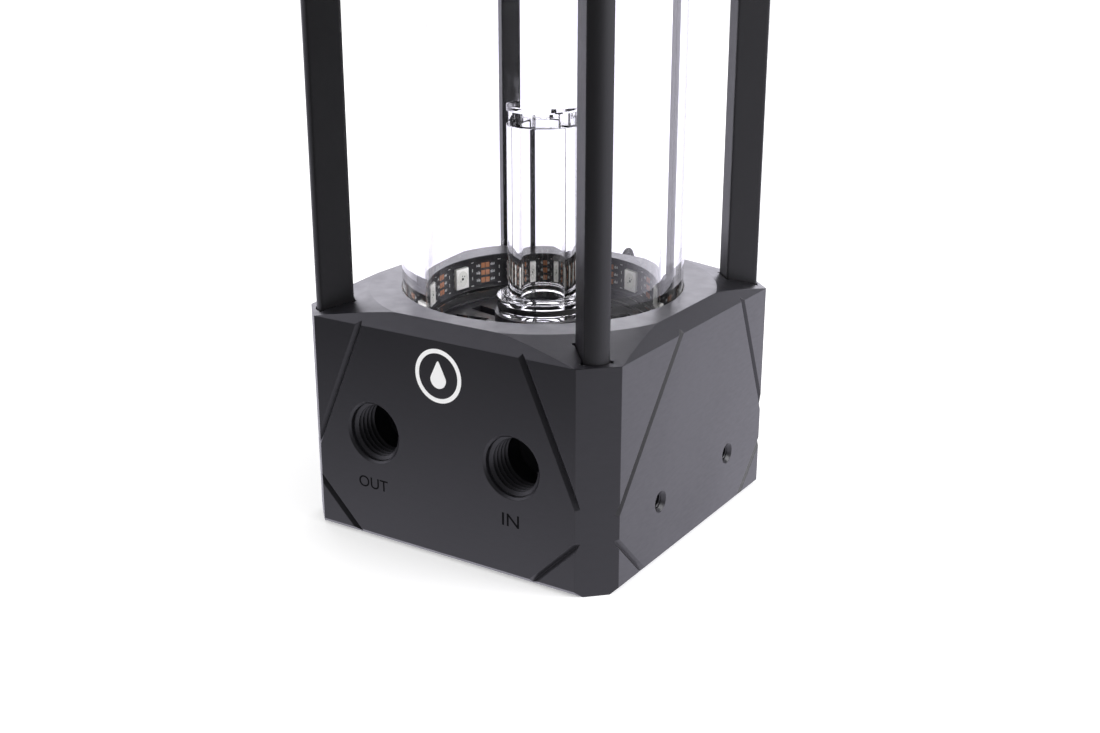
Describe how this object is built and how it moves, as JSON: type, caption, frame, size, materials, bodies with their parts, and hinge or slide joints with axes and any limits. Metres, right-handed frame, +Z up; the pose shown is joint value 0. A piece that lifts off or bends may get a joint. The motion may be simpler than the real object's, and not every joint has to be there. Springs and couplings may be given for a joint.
{
  "type": "coolant pump reservoir",
  "caption": "Black square pump block with a clear upright coolant tube held by tie rods under a matching cap, with ports, riser pipe and light ring.",
  "frame": {"origin": "middle of the base block's underside, on the surface that it stands on", "axes": "+Z up along the tube, -Y out of the face with the OUT and IN ports, +X out of the face with the two mounting holes"},
  "size_m": [0.08, 0.1218, 0.2115],
  "materials": {
    "black_acetal": "satin",
    "black_steel": "satin",
    "black_rubber": "matte",
    "sleeve_aluminium": "satin",
    "electrical_steel": "satin",
    "copper_wire": "satin",
    "board": "satin",
    "can_plastic": "satin",
    "ceramic": "polished",
    "ferrite": "matte",
    "carbon_bush": "matte",
    "impeller_plastic": "satin",
    "clear_acrylic": "polished",
    "black_anodised": "satin",
    "flex_board": "satin",
    "led_white": "satin",
    "black_pvc": "satin",
    "black_nylon": "satin"
  },
  "bodies": {
    "reservoir": {"base_block": "black_acetal", "bottom_cover": "black_acetal", "cover_screws": "black_steel", "cable_grommet": "black_rubber", "stator_sleeve": "sleeve_aluminium", "stator_core": "electrical_steel", "stator_coils": "copper_wire", "control_board": "board", "motor_can": "can_plastic", "motor_can_o_ring": "black_rubber", "rotor_shaft": "ceramic", "shaft_cap": "ceramic", "flow_guide": "black_acetal", "riser_pipe": "clear_acrylic", "riser_cap": "clear_acrylic", "riser_o_ring": "black_rubber", "lower_gasket": "black_rubber", "reservoir_tube": "clear_acrylic", "upper_gasket": "black_rubber", "top_cap": "black_acetal", "tie_rod_1": "black_anodised", "tie_rod_2": "black_anodised", "tie_rod_3": "black_anodised", "tie_rod_4": "black_anodised", "rod_screws_lower": "black_steel", "rod_screws_upper": "black_steel", "led_strip": "flex_board", "led_chips": "led_white", "led_lead": "black_pvc", "led_lead_coil": "black_pvc", "led_lead_tail": "black_pvc", "led_plug": "black_nylon"},
    "rotor": {"rotor_magnet": "ferrite", "rotor_bush": "carbon_bush", "impeller": "impeller_plastic"},
    "plug_left": {"stop_plug_left": "black_acetal"},
    "plug_ring_left": {"plug_o_ring_left": "black_rubber"},
    "plug_right": {"stop_plug_right": "black_acetal"},
    "plug_ring_right": {"plug_o_ring_right": "black_rubber"}
  },
  "joints": [
    {"name": "impeller_spin", "type": "hinge", "parent": "reservoir", "child": "rotor", "pos_m": [0, 0, 0.02], "axis": [0, 0, 1], "continuous": true},
    {"name": "plug_left_lift", "type": "slide", "parent": "reservoir", "child": "plug_ring_left", "axis": [0, 0, 1], "range_m": [0, 0.009]},
    {"name": "plug_left_turn", "type": "hinge", "parent": "plug_ring_left", "child": "plug_left", "pos_m": [-0.015, 0, 0.2066], "axis": [0, 0, 1], "range_deg": [0, 2424]},
    {"name": "plug_right_lift", "type": "slide", "parent": "reservoir", "child": "plug_ring_right", "axis": [0, 0, 1], "range_m": [0, 0.009]},
    {"name": "plug_right_turn", "type": "hinge", "parent": "plug_ring_right", "child": "plug_right", "pos_m": [0.015, 0, 0.2066], "axis": [0, 0, 1], "range_deg": [0, 2424]}
  ],
  "couplings": [
    {"joint": "plug_left_turn", "follows": "plug_left_lift", "rad_per_m": 4699.5},
    {"joint": "plug_right_turn", "follows": "plug_right_lift", "rad_per_m": 4699.5}
  ]
}
